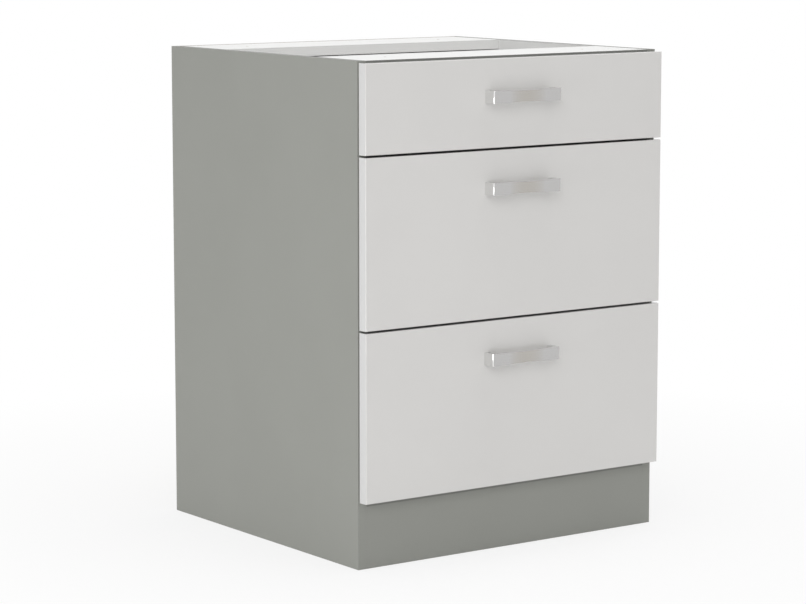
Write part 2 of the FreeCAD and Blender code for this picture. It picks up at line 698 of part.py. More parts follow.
doc.recompute()
for thing in doc.Objects:
    if {"Invalid", "Error"} & set(thing.State):
        raise RuntimeError(f"{thing.Label} failed: {thing.State}")
for piece in nodes:
    if piece.Shape.isNull() or not piece.Shape.isValid() or not piece.Shape.Solids:
        raise RuntimeError(f"{piece.Label} has no valid solid")
os.makedirs("parts", exist_ok=True)
for piece in nodes:
    piece.Shape.exportStep(f"parts/{piece.Label}.step")
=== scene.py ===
import math

import bmesh
import bpy
from mathutils import Matrix, Vector


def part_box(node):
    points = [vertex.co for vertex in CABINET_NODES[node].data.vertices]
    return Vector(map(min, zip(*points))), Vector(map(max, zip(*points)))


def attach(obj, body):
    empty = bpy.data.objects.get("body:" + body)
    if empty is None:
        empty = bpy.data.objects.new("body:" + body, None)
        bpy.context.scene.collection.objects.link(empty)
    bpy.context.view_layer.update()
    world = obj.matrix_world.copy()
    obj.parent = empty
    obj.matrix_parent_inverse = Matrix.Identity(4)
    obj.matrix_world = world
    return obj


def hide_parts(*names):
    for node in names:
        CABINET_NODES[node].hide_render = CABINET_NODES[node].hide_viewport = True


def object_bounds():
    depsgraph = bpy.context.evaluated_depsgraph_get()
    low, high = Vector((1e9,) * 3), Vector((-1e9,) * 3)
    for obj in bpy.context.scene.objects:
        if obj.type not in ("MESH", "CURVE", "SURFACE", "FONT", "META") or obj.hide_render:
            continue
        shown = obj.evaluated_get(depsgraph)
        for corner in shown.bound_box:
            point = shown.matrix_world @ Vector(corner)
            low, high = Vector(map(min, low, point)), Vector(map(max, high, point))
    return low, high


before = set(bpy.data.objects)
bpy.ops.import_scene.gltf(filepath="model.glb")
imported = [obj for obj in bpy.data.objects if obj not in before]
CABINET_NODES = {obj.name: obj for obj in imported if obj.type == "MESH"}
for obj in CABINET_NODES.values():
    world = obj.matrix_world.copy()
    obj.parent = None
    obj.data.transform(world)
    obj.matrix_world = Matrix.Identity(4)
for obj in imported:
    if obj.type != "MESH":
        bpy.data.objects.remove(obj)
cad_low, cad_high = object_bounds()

# A kitchen base cabinet with three drawers: grey board sides, glossy pale fronts, strap handles.
# All lengths are in metres. The cabinet stands on z = 0 and its fronts face -Y.

DRAWERS = ("bottom", "middle", "top")

# Colours of the finishes, as linear red, green and blue
GREY_BOARD = (0.347, 0.352, 0.326, 1)
GREY_BOARD_DARK = (0.325, 0.330, 0.304, 1)
# Grey edging, darker than the board: on the front rail's front edge, seen in the gap above the top front,
# its darkness is painted shade
GREY_EDGING_AND_PAINTED_SHADE = (0.250, 0.253, 0.238, 1)
GREY_EDGING_AND_PAINTED_SHADE_DARK = (0.225, 0.228, 0.213, 1)
WHITE_BOARD = (0.86, 0.86, 0.85, 1)
WHITE_BOARD_DARK = (0.83, 0.83, 0.82, 1)
FRONT_GLOSS = (0.745, 0.734, 0.717, 1)
FRONT_GLOSS_DARK = (0.728, 0.717, 0.701, 1)
# The edge bands of the fronts, in their own tone darkened as painted shade on the edges
FRONT_EDGE_WITH_PAINTED_SHADE = (0.690, 0.688, 0.682, 1)
CHIP_PALE = (0.52, 0.37, 0.22, 1)
CHIP_DARK = (0.24, 0.14, 0.07, 1)
FIBRE_PALE = (0.36, 0.22, 0.12, 1)
FIBRE_DARK = (0.22, 0.12, 0.06, 1)
SEAM_SHADE = (0.20, 0.20, 0.19, 1)
# Chrome of the handles: these three tones are painted reflections, bright on the legs and edges, darker on
# the strap's face and warm in its hollow
CHROME_PAINTED_BRIGHT_REFLECTION = (0.82, 0.82, 0.815, 1)
CHROME_PAINTED_DARK_REFLECTION = (0.505, 0.500, 0.495, 1)
CHROME_PAINTED_WARM_REFLECTION = (0.470, 0.452, 0.422, 1)
ZINC_PALE = (0.62, 0.62, 0.60, 1)
ZINC_DARK = (0.42, 0.42, 0.43, 1)
CAST_PALE = (0.50, 0.50, 0.49, 1)
CAST_DARK = (0.36, 0.36, 0.37, 1)
ENAMEL_PALE = (0.80, 0.80, 0.79, 1)
ENAMEL_DARK = (0.70, 0.70, 0.69, 1)
ROLLER_PALE = (0.74, 0.73, 0.68, 1)
ROLLER_DARK = (0.62, 0.61, 0.56, 1)
BEECH_PALE = (0.58, 0.40, 0.24, 1)
BEECH_DARK = (0.42, 0.26, 0.14, 1)

# Skins of the boards, dark and pale grain
GREY = (GREY_BOARD_DARK, GREY_BOARD)
GREY_EDGE_AND_PAINTED_SHADE = (GREY_EDGING_AND_PAINTED_SHADE_DARK, GREY_EDGING_AND_PAINTED_SHADE)
WHITE = (WHITE_BOARD_DARK, WHITE_BOARD)

# Range of a mask
UNIT = (0, 1)

# Fine grain and slow clouds: their two scales in each finish, and the share of grain in the tone
BOARD_GRAIN = (1100.0, 5.0)
FRONT_GRAIN = (300.0, 4.0)
SHEET_GRAIN = (700.0, 5.0)
CHROME_GRAIN = (900.0, 60.0)
PLAIN_CLOUD_SCALE = 40.0
BOARD_GRAIN_SHARE = 0.5
PLAIN_GRAIN_SHARE = 0.4
NOISE_RANGE = (0.3, 0.7)

# Flakes and pores of sawn chipboard
FLAKE_SCALE = 420.0
FLAKE_SHARE = 0.6
PORE_SCALE = 900.0
PORE_RANGE = (0.35, 0.65)
PORE_TONES = (-0.1, 0.5)

# Felted fibres and clouds of bare fibreboard
FIBRE_SCALE = 260.0
FIBRE_SHARE = 0.7
FIBRE_CLOUD_SCALE = 9.0
FIBRE_CLOUD_SHARE = 0.4
FIBRE_RANGE = (0.35, 0.75)

# Streaks of beech, drawn out along X
STREAK_SCALES = (40, 900, 900)
STREAK_RANGE = (0.35, 0.65)

# Roughness of the finishes, in pairs where it changes from the least to the most of a mask or grain
BOARD_ROUGHNESS = (0.42, 0.52)
SAWN_ROUGHNESS = 0.85
FRONT_ROUGHNESS = (0.30, 0.50)
COAT_ROUGHNESS = 0.04
SHEET_ROUGHNESS = (0.80, 0.48)
BEECH_ROUGHNESS = (0.70, 0.55)
CHROME_ROUGHNESS = (0.10, 0.15)
SATIN_ROUGHNESS = 0.12
ROUGHNESS_SWING_SHARE = 0.15
BOARD_SPECULAR = 0.2

# Relief of the finishes: strength and depth of the bump, and how high the fine grain stands in it
BOARD_BUMP = (0.5, 0.0002)
FRONT_BUMP = (0.05, 0.0001)
SHEET_BUMP = (0.4, 0.0003)
BEECH_BUMP = (0.2, 0.0002)
CHROME_BUMP = (0.015, 0.0001)
PLAIN_BUMP_DEPTH = 0.0001
BOARD_GRAIN_HEIGHT = 0.12
SHEET_GRAIN_HEIGHT = 0.15

# Edges of the boards: depth of the skin, and the glue seam of the edging beside an arris
SKIN_DEPTH = 0.00002
SEAM_INSET = 0.0010
SEAM_REACH = 0.00018
SEAM_STRENGTH = 0.22

# Rounded edge of the fronts, with some room
FRONT_ROUND = 0.003

# Handle sizes
HANDLE_LEG = 0.008
HANDLE_STRAP = 0.006
HANDLE_FLAT = 0.032
HANDLE_HOLLOW = 0.0015
HANDLE_WAIST = 0.0012
HANDLE_CORNER = 0.003
HANDLE_CORNER_STEPS = 6
HANDLE_INNER_CORNER = 0.006
HANDLE_INNER_CORNER_STEPS = 8
HANDLE_ARRIS = 0.00005
HANDLE_ARRIS_STEPS = 3
HANDLE_ARRIS_ANGLE = math.radians(40)
HANDLE_COLUMNS = 24

# How far behind the face of the strap its painted darker reflection reaches
STRAP_PAINTED_REFLECTION_DEPTH = 0.0006

# Edge strip sizes
STRIP_HEIGHT = 0.0045
STRIP_ROUND = 0.0015
STRIP_ROUND_STEPS = 5
STRIP_ARRIS = 0.0004
STRIP_ARRIS_STEPS = 2

# Screw and nail sizes: height of the head, radius of the shank, length of the tip
RAIL_SCREW = (0.0016, 0.00175, 0.004)
BOX_SCREW = (0.0020, 0.00175, 0.004)
HANDLE_SCREW = (0.0024, 0.0020, 0.0006)
BACK_NAIL = (0.0008, 0.0008, 0.002)
SCREW_SIDES = 24
SCREW_TURN = math.radians(67)
HEAD_ROUND_SHARE = 0.45
HEAD_ROUND_STEPS = 4
HEAD_CROWN_SHARE = 0.10
HEAD_FLAT_SHARE = 0.10
TIP_SHARE = 0.15
RECESS_REACH_SHARE = 0.55
RECESS_WIDTH_SHARE = 0.26
RECESS_TAPER_SHARE = 0.45

# Cam disc sizes
CAM_SIDES = 32
CAM_PLATE = 0.0035
CAM_RIM = 0.0010
CAM_SUNK = 0.0003
CAM_ROUND = 0.0004
CAM_ROUND_STEPS = 3
CAM_WALL = 0.0022
CAM_MOUTH_ANGLE = math.radians(45)
CAM_SLOT_REACH = 0.0034
CAM_SLOT_WIDTH = 0.0016
CAM_SLOT_DEPTH = 0.0022

# Room for finding faces, edges and points, and the angle up to which edges look smooth
NEAR = 0.00002
SAME_POINT = 0.000001
SQUARE_ON = 0.99
SMOOTH_ANGLE = math.radians(35)

# Camera of the photograph
CAMERA_PLACE = (-2.7900, -3.8377, 1.0469)
CAMERA_TURN = 35.706
CAMERA_TILT = 8.09
CAMERA_LENS = 126.8
SENSOR_WIDTH = 36

# Floor: its size and colour, and how white it shows from near the cabinet to further away
FLOOR_SIZE = 60
FLOOR_COLOUR = (0.90, 0.90, 0.90, 1)
FLOOR_GLOW_REACH = (0.3, 1.4)
FLOOR_GLOW = (0.78, 1.0)

# Light from all round, and the lamps: name, place, width and height, watts
PURE_WHITE = (1, 1, 1, 1)
AMBIENT = 0.50
LAMPS = (
    ("left_softbox", (-3.4, -3.9, 3.2), (3.0, 3.0), 71),
    ("left_standing_softbox", (-2.3, -0.45, 0.28), (1.7, 0.54), 7.9),
    ("top_softbox", (0.3, -0.2, 4.2), (2.5, 2.5), 58),
)


# Node tree helpers

def place(tree, kind, **settings):
    """Adds a node. A setting is one of its properties or the value of one of its inputs."""
    made = tree.nodes.new(kind)
    for key, value in settings.items():
        if key in made.inputs:
            made.inputs[key].default_value = value
        else:
            setattr(made, key, value)
    return made


def feed(tree, socket, value):
    """Links a value to a socket, or sets it there if it is a plain number or colour."""
    if isinstance(value, bpy.types.NodeSocket):
        tree.links.new(value, socket)
    else:
        socket.default_value = value


def work_out(tree, operation, first, second):
    """A sum, product or comparison of two values."""
    made = place(tree, "ShaderNodeMath", operation=operation)
    feed(tree, made.inputs[0], first)
    feed(tree, made.inputs[1], second)
    return made.outputs[0]


def work_out_vector(tree, operation, first, second):
    """The same for two vectors, axis by axis."""
    made = place(tree, "ShaderNodeVectorMath", operation=operation)
    feed(tree, made.inputs[0], first)
    feed(tree, made.inputs[1], second)
    return made.outputs[0]


def combine(tree, operation, values):
    """One value from several, worked out two at a time."""
    result, *others = values
    for value in others:
        result = work_out(tree, operation, result, value)
    return result


def either(tree, masks):
    """One mask that is 1 wherever any of these is."""
    return combine(tree, "MAXIMUM", masks)


def add_shares(tree, first, first_share, second, second_share):
    """Two values added up, each times its share."""
    first_part = work_out(tree, "MULTIPLY", first, first_share)
    second_part = work_out(tree, "MULTIPLY", second, second_share)
    return work_out(tree, "ADD", first_part, second_part)


def blend_value(tree, share, under, over):
    """A number between two, by this share of the second."""
    made = place(tree, "ShaderNodeMix")
    feed(tree, made.inputs[0], share)
    feed(tree, made.inputs[2], under)
    feed(tree, made.inputs[3], over)
    return made.outputs[0]


def blend_colour(tree, share, under, over):
    """A colour between two. A Mix node has its colour sockets after those for numbers and vectors."""
    made = place(tree, "ShaderNodeMix", data_type="RGBA")
    feed(tree, made.inputs[0], share)
    feed(tree, made.inputs[6], under)
    feed(tree, made.inputs[7], over)
    return made.outputs[2]


def spread(tree, value, old, new):
    """Stretches a value from one range to another, and keeps it inside."""
    made = place(tree, "ShaderNodeMapRange")
    feed(tree, made.inputs[0], value)
    for socket, number in zip(made.inputs[1:5], old + new):
        socket.default_value = number
    return made.outputs[0]


def split_axes(tree, vector):
    """The x, y and z of a vector."""
    made = place(tree, "ShaderNodeSeparateXYZ")
    tree.links.new(vector, made.inputs[0])
    return made.outputs


def object_point(tree):
    """Where a point lies on the cabinet."""
    return place(tree, "ShaderNodeTexCoord").outputs["Object"]


def add_noise(tree, scale, **settings):
    """Soft noise all through the cabinet."""
    noise = place(tree, "ShaderNodeTexNoise", **settings)
    tree.links.new(object_point(tree), noise.inputs["Vector"])
    feed(tree, noise.inputs["Scale"], scale)
    return noise.outputs[0]


def shader_group(name, inputs, outputs):
    """An empty node group with its named sockets. Inputs are (name, kind, value)."""
    tree = bpy.data.node_groups.new(name, "ShaderNodeTree")
    for socket_name, kind, value in inputs:
        socket = tree.interface.new_socket(socket_name, in_out="INPUT", socket_type=kind)
        socket.default_value = value
    for socket_name, kind in outputs:
        tree.interface.new_socket(socket_name, in_out="OUTPUT", socket_type=kind)
    return tree, tree.nodes.new("NodeGroupInput"), tree.nodes.new("NodeGroupOutput")


def use_group(tree, group, **values):
    """Places a node group with these values and gives its outputs."""
    made = place(tree, "ShaderNodeGroup", node_tree=group)
    for key, value in values.items():
        feed(tree, made.inputs[key], value)
    return made.outputs


# Effects that several finishes share

def make_board_skin():
    """Which face of a board a point is on, how far from the nearest arris, and whether it is in a hole."""
    faces = ("Left", "Front", "Under", "Right", "Rear", "Top")
    outputs = [(name, "NodeSocketFloat") for name in faces + ("Drilled", "Arris")]
    corners = [("Low", "NodeSocketVector", (0, 0, 0)), ("High", "NodeSocketVector", (1, 1, 1))]
    tree, given, result = shader_group("board_skin", corners, outputs)
    here = object_point(tree)
    above_low = work_out_vector(tree, "SUBTRACT", here, given.outputs["Low"])
    below_high = work_out_vector(tree, "SUBTRACT", given.outputs["High"], here)
    for side, names in ((above_low, faces[:3]), (below_high, faces[3:])):
        for name, gap in zip(names, split_axes(tree, side)):
            feed(tree, result.inputs[name], work_out(tree, "LESS_THAN", gap, SKIN_DEPTH))
    gaps = split_axes(tree, work_out_vector(tree, "MINIMUM", above_low, below_high))
    least = combine(tree, "MINIMUM", gaps)
    most = combine(tree, "MAXIMUM", gaps)
    total = combine(tree, "ADD", gaps)
    middle = combine(tree, "SUBTRACT", (total, least, most))
    feed(tree, result.inputs["Drilled"], work_out(tree, "GREATER_THAN", least, SKIN_DEPTH))
    feed(tree, result.inputs["Arris"], middle)
    return tree


def make_fine_grain():
    """A fine even grain and a slow cloudiness, both from 0 to 1."""
    details = {"Grain": 3.0, "Cloud": 2.0}
    inputs = [(f"{name} Scale", "NodeSocketFloat", scale) for name, scale in zip(details, BOARD_GRAIN)]
    outputs = [(name, "NodeSocketFloat") for name in details]
    tree, given, result = shader_group("fine_grain", inputs, outputs)
    for name, detail in details.items():
        noise = add_noise(tree, given.outputs[f"{name} Scale"], Detail=detail, Roughness=0.55)
        feed(tree, result.inputs[name], spread(tree, noise, NOISE_RANGE, UNIT))
    return tree


def make_chipboard():
    """Sawn chipboard: flakes of wood with dark pores between them."""
    tree, given, result = shader_group(
        "sawn_chipboard",
        [("Flake Scale", "NodeSocketFloat", FLAKE_SCALE)],
        [("Colour", "NodeSocketColor"), ("Height", "NodeSocketFloat")],
    )
    flakes = place(tree, "ShaderNodeTexVoronoi", Randomness=1.0)
    tree.links.new(object_point(tree), flakes.inputs["Vector"])
    tree.links.new(given.outputs["Flake Scale"], flakes.inputs["Scale"])
    flake = split_axes(tree, flakes.outputs["Color"])[0]
    pores = spread(tree, add_noise(tree, PORE_SCALE, Detail=4.0), PORE_RANGE, PORE_TONES)
    tone = work_out(tree, "ADD", work_out(tree, "MULTIPLY", flake, FLAKE_SHARE), pores)
    feed(tree, result.inputs["Colour"], blend_colour(tree, tone, CHIP_DARK, CHIP_PALE))
    feed(tree, result.inputs["Height"], tone)
    return tree


def make_fibreboard():
    """The bare side of thin fibreboard: brown, felted and a little cloudy."""
    tree, given, result = shader_group(
        "bare_fibreboard",
        [("Fibre Scale", "NodeSocketFloat", FIBRE_SCALE)],
        [("Colour", "NodeSocketColor"), ("Height", "NodeSocketFloat")],
    )
    fibres = add_noise(tree, given.outputs["Fibre Scale"], Detail=6.0, Roughness=0.7, Distortion=1.5)
    clouds = add_noise(tree, FIBRE_CLOUD_SCALE, Detail=3.0)
    felt = add_shares(tree, fibres, FIBRE_SHARE, clouds, FIBRE_CLOUD_SHARE)
    tone = spread(tree, felt, FIBRE_RANGE, UNIT)
    feed(tree, result.inputs["Colour"], blend_colour(tree, tone, FIBRE_DARK, FIBRE_PALE))
    feed(tree, result.inputs["Height"], fibres)
    return tree


BOARD_SKIN = make_board_skin()
FINE_GRAIN = make_fine_grain()
SAWN_CHIPBOARD = make_chipboard()
BARE_FIBREBOARD = make_fibreboard()


# Finishes

def new_finish(name):
    """A material with its tree and its shader, ready for nodes."""
    material = bpy.data.materials.new(name)
    material.use_nodes = True
    tree = material.node_tree
    return material, tree, tree.nodes["Principled BSDF"]


def face_masks(tree, node):
    """The masks of a board's faces, from the corners of its box."""
    low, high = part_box(node)
    return use_group(tree, BOARD_SKIN, Low=low, High=high)


def add_grain(tree, scales):
    """Grain and clouds at these two scales."""
    grain_scale, cloud_scale = scales
    return use_group(tree, FINE_GRAIN, **{"Grain Scale": grain_scale, "Cloud Scale": cloud_scale})


def grain_tone(tree, grain, share):
    """A tone with this share of fine grain, and clouds for the rest."""
    return add_shares(tree, grain["Grain"], share, grain["Cloud"], 1 - share)


def raise_bump(tree, shader, height, strength, depth):
    """Gives a finish fine relief, by its height."""
    bump = place(tree, "ShaderNodeBump", Strength=strength, Distance=depth)
    feed(tree, bump.inputs["Height"], height)
    tree.links.new(bump.outputs[0], shader.inputs["Normal"])


def board_finish(node, main, others=(), raw_faces=()):
    """Faced board: a skin with fine grain, other skins on some faces or edges, sawn and drilled places."""
    material, tree, shader = new_finish(f"{node}_board")
    masks = face_masks(tree, node)
    grain = add_grain(tree, BOARD_GRAIN)
    tone = grain_tone(tree, grain, BOARD_GRAIN_SHARE)
    colour = blend_colour(tree, tone, *main)
    for skin, faces in others:
        other_colour = blend_colour(tree, tone, *skin)
        colour = blend_colour(tree, either(tree, [masks[face] for face in faces]), colour, other_colour)
    seam = work_out(tree, "COMPARE", masks["Arris"], SEAM_INSET)
    seam.node.inputs[2].default_value = SEAM_REACH
    colour = blend_colour(tree, work_out(tree, "MULTIPLY", seam, SEAM_STRENGTH), colour, SEAM_SHADE)
    bare = either(tree, [masks[face] for face in raw_faces] + [masks["Drilled"]])
    core = use_group(tree, SAWN_CHIPBOARD)
    colour = blend_colour(tree, bare, colour, core["Colour"])
    tree.links.new(colour, shader.inputs["Base Color"])
    skin_roughness = spread(tree, grain["Grain"], UNIT, BOARD_ROUGHNESS)
    tree.links.new(blend_value(tree, bare, skin_roughness, SAWN_ROUGHNESS), shader.inputs["Roughness"])
    shader.inputs["Specular IOR Level"].default_value = BOARD_SPECULAR
    grain_height = work_out(tree, "MULTIPLY", grain["Grain"], BOARD_GRAIN_HEIGHT)
    flake_height = work_out(tree, "MULTIPLY", core["Height"], bare)
    raise_bump(tree, shader, work_out(tree, "ADD", grain_height, flake_height), *BOARD_BUMP)
    return material


def front_finish(node):
    """A glossy front: clear-coated face and edge bands, the bands darkened as painted shade, a plain white
    back.
    """
    material, tree, shader = new_finish(f"{node}_gloss")
    masks = face_masks(tree, node)
    grain = add_grain(tree, FRONT_GRAIN)
    inner = work_out(tree, "GREATER_THAN", masks["Arris"], FRONT_ROUND)
    holes = work_out(tree, "MULTIPLY", masks["Drilled"], inner)
    back = work_out(tree, "MAXIMUM", masks["Rear"], holes)
    colour = blend_colour(tree, grain["Cloud"], FRONT_GLOSS_DARK, FRONT_GLOSS)
    edges = either(tree, [masks[face] for face in ("Left", "Right", "Top", "Under")])
    # The edge bands are darker than the face: painted shade
    colour = blend_colour(tree, edges, colour, FRONT_EDGE_WITH_PAINTED_SHADE)
    colour = blend_colour(tree, back, colour, blend_colour(tree, grain["Grain"], *WHITE))
    tree.links.new(colour, shader.inputs["Base Color"])
    tree.links.new(spread(tree, back, UNIT, FRONT_ROUGHNESS), shader.inputs["Roughness"])
    tree.links.new(work_out(tree, "SUBTRACT", 1.0, back), shader.inputs["Coat Weight"])
    shader.inputs["Coat Roughness"].default_value = COAT_ROUGHNESS
    raise_bump(tree, shader, grain["Grain"], *FRONT_BUMP)
    return material


def sheet_finish(node, white_face):
    """Thin fibreboard, white on one face and bare on the other and at its edges."""
    material, tree, shader = new_finish(f"{node}_sheet")
    painted = face_masks(tree, node)[white_face]
    grain = add_grain(tree, SHEET_GRAIN)
    bare = use_group(tree, BARE_FIBREBOARD)
    white = blend_colour(tree, grain["Cloud"], *WHITE)
    tree.links.new(blend_colour(tree, painted, bare["Colour"], white), shader.inputs["Base Color"])
    tree.links.new(spread(tree, painted, UNIT, SHEET_ROUGHNESS), shader.inputs["Roughness"])
    paint_height = work_out(tree, "MULTIPLY", grain["Grain"], SHEET_GRAIN_HEIGHT)
    raise_bump(tree, shader, blend_value(tree, painted, bare["Height"], paint_height), *SHEET_BUMP)
    return material


def plain_finish(name, pale, dark, roughness, grain_scale, bump, metallic=0.0, coat=0.0):
    """A finish of one colour with fine grain in its tone, gloss and surface."""
    material, tree, shader = new_finish(name)
    grain = add_grain(tree, (grain_scale, PLAIN_CLOUD_SCALE))
    tone = grain_tone(tree, grain, PLAIN_GRAIN_SHARE)
    tree.links.new(blend_colour(tree, tone, dark, pale), shader.inputs["Base Color"])
    swing = (roughness * (1 - ROUGHNESS_SWING_SHARE), roughness * (1 + ROUGHNESS_SWING_SHARE))
    tree.links.new(spread(tree, grain["Cloud"], UNIT, swing), shader.inputs["Roughness"])
    shader.inputs["Metallic"].default_value = metallic
    shader.inputs["Coat Weight"].default_value = coat
    raise_bump(tree, shader, grain["Grain"], bump, PLAIN_BUMP_DEPTH)
    return material


def beech_finish():
    """Dowels of beech, with the grain along them."""
    material, tree, shader = new_finish("dowel_beech")
    along = place(tree, "ShaderNodeMapping", Scale=STREAK_SCALES)
    tree.links.new(object_point(tree), along.inputs["Vector"])
    streaks = place(tree, "ShaderNodeTexNoise", Scale=1.0, Detail=3.0)
    tree.links.new(along.outputs[0], streaks.inputs["Vector"])
    tone = spread(tree, streaks.outputs[0], STREAK_RANGE, UNIT)
    tree.links.new(blend_colour(tree, tone, BEECH_DARK, BEECH_PALE), shader.inputs["Base Color"])
    tree.links.new(spread(tree, tone, UNIT, BEECH_ROUGHNESS), shader.inputs["Roughness"])
    raise_bump(tree, shader, tone, *BEECH_BUMP)
    return material


def chrome_finish():
    """The chrome of the handles, with painted reflections in its colour: a painted bright reflection on
    the legs and edges, a painted darker reflection on the face of the strap, and a painted warm reflection
    in its hollow, where the chrome is also satin.
    """
    material, tree, shader = new_finish("handle_chrome")
    low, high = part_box("bottom_drawer_handle")
    across, depth, _ = split_axes(tree, object_point(tree))
    grain = add_grain(tree, CHROME_GRAIN)
    share = work_out(tree, "DIVIDE", across, high.x - HANDLE_FLAT)
    slope = work_out(tree, "SUBTRACT", 1.0, work_out(tree, "MULTIPLY", share, share))
    hollow = work_out(tree, "MAXIMUM", slope, 0.0)
    sunk = work_out(tree, "MULTIPLY", hollow, HANDLE_HOLLOW)
    strap = work_out(tree, "LESS_THAN", depth, work_out(tree, "ADD", sunk, low.y + STRAP_PAINTED_REFLECTION_DEPTH))
    # Painted reflections: the strap's face is darker, and warm in its hollow, while the legs and edges are
    # bright
    face = blend_colour(tree, hollow, CHROME_PAINTED_DARK_REFLECTION, CHROME_PAINTED_WARM_REFLECTION)
    tree.links.new(blend_colour(tree, strap, CHROME_PAINTED_BRIGHT_REFLECTION, face), shader.inputs["Base Color"])
    polish = spread(tree, grain["Cloud"], UNIT, CHROME_ROUGHNESS)
    satin = work_out(tree, "MULTIPLY", hollow, SATIN_ROUGHNESS)
    tree.links.new(work_out(tree, "ADD", polish, satin), shader.inputs["Roughness"])
    shader.inputs["Metallic"].default_value = 1.0
    raise_bump(tree, shader, grain["Grain"], *CHROME_BUMP)
    return material


def dress(node, material):
    """Gives a CAD node its finish."""
    for slot in CABINET_NODES[node].material_slots:
        slot.material = material


zinc = plain_finish(
    "zinc_plate", ZINC_PALE, ZINC_DARK, roughness=0.38, grain_scale=700.0, bump=0.15, metallic=1.0
)
cast_zinc = plain_finish(
    "cast_zinc", CAST_PALE, CAST_DARK, roughness=0.52, grain_scale=1200.0, bump=0.35, metallic=1.0
)
enamel = plain_finish(
    "runner_enamel", ENAMEL_PALE, ENAMEL_DARK, roughness=0.34, grain_scale=500.0, bump=0.12, coat=0.3
)
roller_nylon = plain_finish(
    "roller_nylon", ROLLER_PALE, ROLLER_DARK, roughness=0.42, grain_scale=800.0, bump=0.08
)
edging = plain_finish(
    "grey_edging", GREY_EDGING_AND_PAINTED_SHADE, GREY_EDGING_AND_PAINTED_SHADE_DARK, roughness=0.45, grain_scale=900.0, bump=0.08
)
beech = beech_finish()
chrome = chrome_finish()

for side, inner_face in (("left", "Right"), ("right", "Left")):
    panel = f"{side}_side_panel"
    skins = [(WHITE, [inner_face]), (GREY_EDGE_AND_PAINTED_SHADE, ["Top"])]
    dress(panel, board_finish(panel, GREY, skins, ("Rear", "Under")))
dress("plinth_board", board_finish("plinth_board", GREY, raw_faces=("Left", "Right", "Under")))
# The front edges take the darker edging; on the front rail it is painted shade of the gap above the top
# front
for shelf in ("bottom_panel", "front_top_rail"):
    dress(shelf, board_finish(shelf, WHITE, [(GREY_EDGE_AND_PAINTED_SHADE, ["Front"])], ("Left", "Right", "Rear")))
dress("rear_top_rail", board_finish("rear_top_rail", WHITE, raw_faces=("Left", "Right", "Rear")))
dress("back_panel", sheet_finish("back_panel", "Front"))
dress("carcass_dowels", beech)
for fasteners in ("carcass_cam_bolts", "cabinet_rail_screws", "back_panel_nails"):
    dress(fasteners, zinc)
dress("carcass_cam_discs", cast_zinc)
for drawer in DRAWERS:
    dress(f"{drawer}_drawer_front", front_finish(f"{drawer}_drawer_front"))
    for board in ("box_left_side", "box_right_side", "box_back"):
        name = f"{drawer}_{board}"
        dress(name, board_finish(name, WHITE, raw_faces=("Under",)))
    dress(f"{drawer}_box_base", sheet_finish(f"{drawer}_box_base", "Top"))
    for fasteners in ("handle_screws", "front_cam_bolts", "drawer_screws"):
        dress(f"{drawer}_{fasteners}", zinc)
    dress(f"{drawer}_front_cam_discs", cast_zinc)
    for rail in ("left_drawer_rail", "right_drawer_rail", "left_cabinet_rail", "right_cabinet_rail"):
        dress(f"{drawer}_{rail}", enamel)
    for rollers in ("front_rollers", "rear_rollers"):
        dress(f"{drawer}_{rollers}", roller_nylon)
    dress(f"{drawer}_drawer_handle", chrome)


# Modelling helpers

def start_piece(name):
    """Names the new primitive, fixes its size and place in its mesh and opens it in edit mode."""
    piece = bpy.context.object
    piece.name = name
    piece.data.name = name
    bpy.ops.object.transform_apply(location=True, rotation=True, scale=True)
    bpy.ops.object.mode_set(mode="EDIT")
    return piece


def start_block(name, middle, size):
    """A block of this size around its middle, in edit mode."""
    bpy.ops.object.select_all(action="DESELECT")
    bpy.ops.mesh.primitive_cube_add(size=1, location=middle, scale=size)
    return start_piece(name)


def start_disc(name, radius, top, bottom, sides):
    """A round blank between two heights, in edit mode."""
    bpy.ops.object.select_all(action="DESELECT")
    bpy.ops.mesh.primitive_cylinder_add(
        vertices=sides, radius=radius, depth=top - bottom, location=(0, 0, (top + bottom) / 2)
    )
    return start_piece(name)


def pick(piece, kind, wanted):
    """Selects the faces, edges or vertices of the piece in edit mode that fit."""
    bpy.ops.mesh.select_all(action="DESELECT")
    bpy.ops.mesh.select_mode(type=kind)
    form = bmesh.from_edit_mesh(piece.data)
    items = {"FACE": form.faces, "EDGE": form.edges, "VERT": form.verts}[kind]
    for item in items:
        if wanted(item):
            item.select_set(True)
    form.select_flush_mode()
    bmesh.update_edit_mesh(piece.data)


def near(first, second):
    """Whether two places are the same but for rounding."""
    return abs(first - second) < NEAR


def edge_at(**spots):
    """A test for edges that lie wholly at these places along the axes, on either side of x = 0."""
    def fits(edge):
        for vertex in edge.verts:
            for axis, spot in spots.items():
                value = getattr(vertex.co, axis)
                if not near(abs(value) if axis == "x" else value, spot):
                    return False
        return True
    return fits


def level_faces(height, upwards=True):
    """A test for level faces at this height that look up or down."""
    def fits(face):
        looks = face.normal.z if upwards else -face.normal.z
        return looks > SQUARE_ON and near(face.calc_center_median().z, height)
    return fits


def round_edges(piece, wanted, radius, steps):
    """Rounds the edges of the piece in edit mode that fit."""
    pick(piece, "EDGE", wanted)
    bpy.ops.mesh.bevel(offset=radius, segments=steps, affect="EDGES")


def pull(y=0, z=0):
    """Extrudes the picked faces by this much."""
    bpy.ops.mesh.extrude_region_move(TRANSFORM_OT_translate={"value": (0, y, z)})


def leave_smooth(piece):
    """Ends the shaping of a piece, with its gentle edges smooth."""
    bpy.ops.object.mode_set(mode="OBJECT")
    bpy.ops.object.shade_smooth_by_angle(angle=SMOOTH_ANGLE)
    return piece


def copy_piece(piece, name, motion):
    """A copy with its own mesh, moved inside that mesh."""
    twin = piece.copy()
    twin.data = piece.data.copy()
    twin.name = name
    twin.data.name = name
    twin.data.transform(motion)
    bpy.context.collection.objects.link(twin)
    return twin


